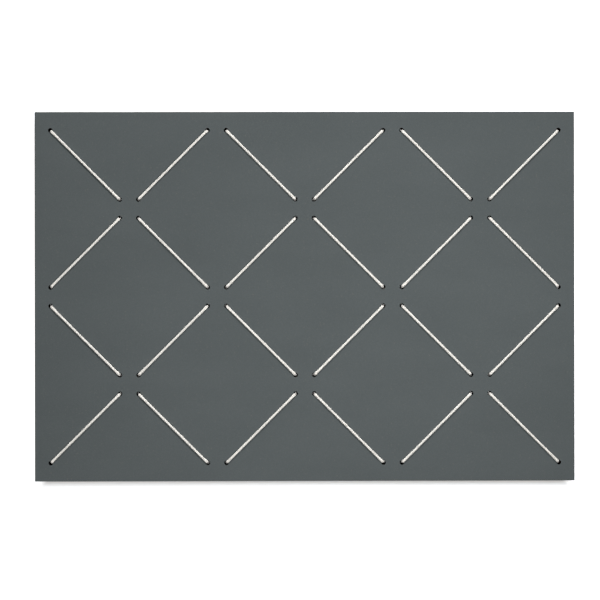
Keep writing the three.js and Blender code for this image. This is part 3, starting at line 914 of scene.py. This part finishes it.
def keyhole_cutters(x, from_y):
    """Cutters for the round entry of a keyhole and the slot above it, flared to ease the rim."""
    cutters = []
    # Neither count of sides is a multiple of four, so that no point is level with the middle
    for radius, sides in ((ENTRY_RADIUS, ENTRY_SIDES), (SLOT_RADIUS, SLOT_SIDES)):
        flare = (radius + KEYHOLE_RIM + OVERCUT, OVERCUT)
        profile = [flare, (radius, -KEYHOLE_RIM), (radius, from_y)]
        cutters.append(turned("keyhole", profile, x, ENTRY_Z, sides))
    picked(cutters[1], "VERT", lambda point: point.co.z > ENTRY_Z)
    bpy.ops.transform.translate(value=(0, 0, SLOT_Z - ENTRY_Z))
    bpy.ops.object.mode_set(mode="OBJECT")
    return cutters


def spacer_batten(name, screws, plates, spruce):
    """A batten with eased edges and countersunk holes, and for the top one routed plate seats."""
    low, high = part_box(name)
    made = block(f"planed_{name}", low, high)
    ease_edges(made, BATTEN_EDGE)
    for node in screws:
        cut(made, countersink(BATTEN_SCREW, middle_of(node)))
    for plate in plates:
        cut(made, plate_seat(plate), keyhole_well(plate))
    finished(made, [name], "spruce", spruce)


def keyhole_plate(node, screws, zinc):
    """A pressed plate with round corners, a keyhole and two countersunk holes."""
    low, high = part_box(node)
    made = block(f"pressed_{node}", low, high)
    round_corners(made, PLATE_CORNER, segments=CORNER_SEGMENTS)
    ease_edges(made, PLATE_EDGE, segments=2)
    cut(made, *keyhole_cutters(middle_of(node).x, low.y - OVERCUT))
    for screw in screws:
        cut(made, countersink(PLATE_SCREW, middle_of(screw)))
    finished(made, [node], "zinc_plate", zinc)


def rubber_pad(node, rubber):
    """A round pad with a rounded rim and a shallow dished middle."""
    low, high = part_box(node)
    place = middle_of(node)
    wide, top = (high.x - low.x) / 2, high.y
    profile = [(wide - PAD_FOOT_WIDTH, 0), (wide, PAD_FOOT_HEIGHT)]
    for turn in PAD_ROUNDING_TURNS:
        inwards = PAD_ROUNDING * (1 - math.cos(turn))
        down = PAD_ROUNDING * (1 - math.sin(turn))
        profile.append((wide - inwards, top - down))
    profile += [
        (wide - PAD_RIM, top),
        (wide - PAD_RIM - PAD_DISH_EDGE, top - PAD_DISH_DEPTH),
        (PAD_MIDDLE, top - PAD_MIDDLE_DEPTH),
    ]
    made = turned(f"moulded_{node}", profile, place.x, place.z, PAD_SIDES)
    finished(made, [node], "pad_rubber", rubber)


# Studio


def stage_surface(name, colour):
    """A matt one-sided backdrop, seen from its front only, so that it doesn't hide the board's back.
    Its glow is for the camera alone and lights nothing."""
    made, tree, shader, place = material(name)
    fill(tree, shader, {"Base Color": colour, "Roughness": 1, "Specular IOR Level": 0})
    glow = add(tree, "ShaderNodeEmission", {"Strength": 0})
    lit = add(tree, "ShaderNodeAddShader", {0: shader, 1: glow})
    behind = add(tree, "ShaderNodeNewGeometry", {}).outputs["Backfacing"]
    clear = add(tree, "ShaderNodeBsdfTransparent", {})
    mixed = add(tree, "ShaderNodeMixShader", {0: behind, 1: lit, 2: clear})
    fill(tree, tree.nodes["Material Output"], {"Surface": mixed})
    return made, tree, place, glow


def painted_wall():
    # Cool white emulsion on plaster. It is pure white to the camera, but for a narrow strip under the
    # board where it glows less, so that the lamps' shadow of the board shows; the strip's outline and
    # fades are painted shadow.
    made, tree, place, glow = stage_surface("painted_wall", "#dfe6ec")
    where = add(tree, "ShaderNodeSeparateXYZ", {0: place})
    side, bottom = BOARD_WIDTH / 2, SHEET_LOW.z
    off_middle = add(tree, "ShaderNodeMath", {0: where.outputs["X"]}, operation="ABSOLUTE")
    clear = 0
    for value, edge, way, strip in (
        (off_middle, side, -1, STRIP_ENDS),
        (where.outputs["Z"], bottom, -1, STRIP_BELOW),
        (where.outputs["Z"], bottom, 1, STRIP_ABOVE),
    ):
        shaded, bright = (edge + way * distance for distance in strip)
        inputs = {"Value": value, "From Min": shaded, "From Max": bright}
        here = add(tree, "ShaderNodeMapRange", inputs)
        clear = add(tree, "ShaderNodeMath", {0: here, 1: clear}, operation="MAXIMUM")
    strength = {"Value": clear, "To Min": SHADED_GLOW, "To Max": CLEAR_GLOW}
    strength = add(tree, "ShaderNodeMapRange", strength)
    fill(tree, glow, {"Strength": strength})
    return made


def stage_plane(name, size, location, rotation, surface):
    """A flat sheet of the stage, which only the camera sees."""
    bpy.ops.object.select_all(action="DESELECT")
    bpy.ops.mesh.primitive_plane_add(size=1, location=location, rotation=rotation)
    bpy.context.object.scale = (*size, 1)
    made = settled(name)
    made.data.materials.append(surface)
    for rays in ("diffuse", "glossy", "transmission", "shadow"):
        setattr(made, f"visible_{rays}", False)


def lamp(name, level, distance, direction, size):
    """A soft box that lights a surface facing it, at its distance, to the given share of white."""
    light = bpy.data.lights.new(name, "AREA")
    light.shape = "RECTANGLE"
    light.size, light.size_y = size
    # At that distance each square metre gets the power divided by pi and by the distance squared,
    # and a white surface gives it back spread over pi
    light.energy = level * (math.pi * distance) ** 2
    made = bpy.data.objects.new(name, light)
    bpy.context.scene.collection.objects.link(made)
    towards = Vector(direction).normalized()
    made.location = MIDDLE + towards * distance
    made.rotation_euler = towards.to_track_quat("Z", "Y").to_euler()
    made.visible_camera = False


def set_studio():
    """A pale wall and floor, a white surround and soft lamps."""
    # A near-black surface for the painted shade behind the board
    shade, *_ = stage_surface("unlit_gap", "#060606")
    floor, floor_tree, _, glow = stage_surface("pale_floor", "#e6e6e6")
    fill(floor_tree, glow, {"Strength": FLOOR_GLOW})
    upright = (math.pi / 2, 0, 0)
    middle = Vector((0, WALL_Y, FLOOR_Z + WALL_HEIGHT / 2))
    stage_plane("wall", (WALL_WIDTH, WALL_HEIGHT), middle, upright, painted_wall())
    # What the holes look into: a near-black sheet just behind the core, painted shade for the gap to
    # the wall, where no light gets. From the front it also hides the strands behind the board.
    hidden = (BOARD_WIDTH - 2 * UNLIT_MARGIN, BOARD_HEIGHT - 2 * UNLIT_MARGIN)
    behind = Vector((0, BACK_Y + UNLIT_GAP, MIDDLE.z))
    stage_plane("painted_shade_behind_board", hidden, behind, upright, shade)
    stage_plane("floor", FLOOR_SIZE, (0, 0, FLOOR_Z), (0, 0, 0), floor)

    world = bpy.data.worlds.new("studio")
    bpy.context.scene.world = world
    world.use_nodes = True
    tree = world.node_tree
    rays = add(tree, "ShaderNodeLightPath", {})
    seen = 0
    for kind in ("Is Camera Ray", "Is Glossy Ray", "Is Transmission Ray"):
        seen = add(tree, "ShaderNodeMath", {0: rays.outputs[kind], 1: seen}, operation="MAXIMUM")
    strength = add(tree, "ShaderNodeMapRange", {"Value": seen, "To Min": AMBIENT_LEVEL, "To Max": 1})
    fill(tree, tree.nodes["Background"], {"Color": "#ffffff", "Strength": strength})

    for name, values in LAMPS.items():
        lamp(name, *values)
    bpy.context.scene.view_settings.view_transform = "Standard"


# The making: the camera first, then the cords, and then what holds them

bpy.ops.object.select_all(action="DESELECT")
set_camera()

laced_points = []
cords = {"left": spans_of(1, laced_points), "right": spans_of(-1, laced_points)}
elastic = braided_elastic()
for side, spans in cords.items():
    cord = braided_tube(f"braided_cord_{side}", cord_route(spans))
    finished(cord, [f"elastic_cord_{side}"], "elastic", elastic, smooth=CORD_SMOOTHING)

all_spans = cords["left"] + cords["right"]
hole_places = [place for span in all_spans for place in (span.start, span.end)]
# The walls of the holes, painted near black for their shade
bore = bore_painted_shade()
linoleum_sheet(hole_places, calendered_linoleum(), jute_backing(), bore)
fibre_core(hole_places, pressed_fibreboard(), bore)

level_spruce = planed_spruce("planed_spruce_level", "X")
upright_spruce = planed_spruce("planed_spruce_upright", "Z")
nodes = sorted(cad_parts)
plates = [node for node in nodes if node.startswith("hanger_plate")]
for where in ("top", "bottom", "left", "right"):
    held_by = [node for node in nodes if node.startswith(f"batten_screw_{where}")]
    wood = level_spruce if where in ("top", "bottom") else upright_spruce
    spacer_batten(f"batten_{where}", held_by, plates if where == "top" else [], wood)

steel = yellow_passivated_steel()
driven_screws(BATTEN_SCREW, [node for node in nodes if node.startswith("batten_screw")], steel)
driven_screws(PLATE_SCREW, [node for node in nodes if node.startswith("hanger_screw")], steel)
zinc = zinc_plated_sheet()
for plate in plates:
    side = plate.removeprefix("hanger_plate_")
    keyhole_plate(plate, [node for node in nodes if node.startswith(f"hanger_screw_{side}")], zinc)
rubber = moulded_rubber()
for node in nodes:
    if node.startswith("wall_pad"):
        rubber_pad(node, rubber)

set_studio()
